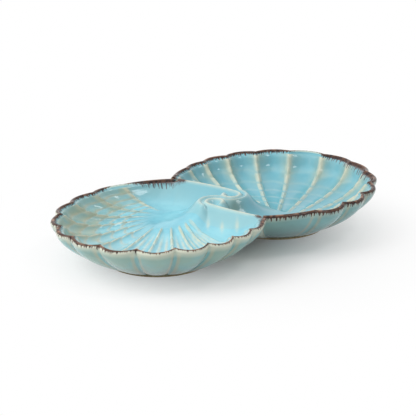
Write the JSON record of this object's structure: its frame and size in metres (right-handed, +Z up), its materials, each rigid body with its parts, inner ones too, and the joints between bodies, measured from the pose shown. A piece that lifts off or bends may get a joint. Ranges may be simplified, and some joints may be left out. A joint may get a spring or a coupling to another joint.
{
  "type": "shell platter",
  "caption": "Glazed stoneware serving dish of paired scallop-shell bowls, joined along a scrolled wall, with fluted walls, a lobed iron-brown rim and flat foot rings.",
  "frame": {"origin": "table level, midway between the two shells", "axes": "+X along the length from the front shell to the rear shell, +Y across the width, +Z up"},
  "size_m": [0.3, 0.1674, 0.037],
  "materials": {
    "aqua_glaze": "glossy aqua glaze, cream where it breaks over the ridges",
    "iron_glaze": "dark purple-brown iron glaze, brushed on with short drips",
    "bare_stoneware": "matt unglazed stoneware"
  },
  "bodies": {
    "root": {"front_shell": "aqua_glaze", "rear_shell": "aqua_glaze", "scroll_divider": "aqua_glaze", "front_rim_band": "iron_glaze", "rear_rim_band": "iron_glaze", "front_foot_ring": "bare_stoneware", "rear_foot_ring": "bare_stoneware"}
  },
  "joints": []
}
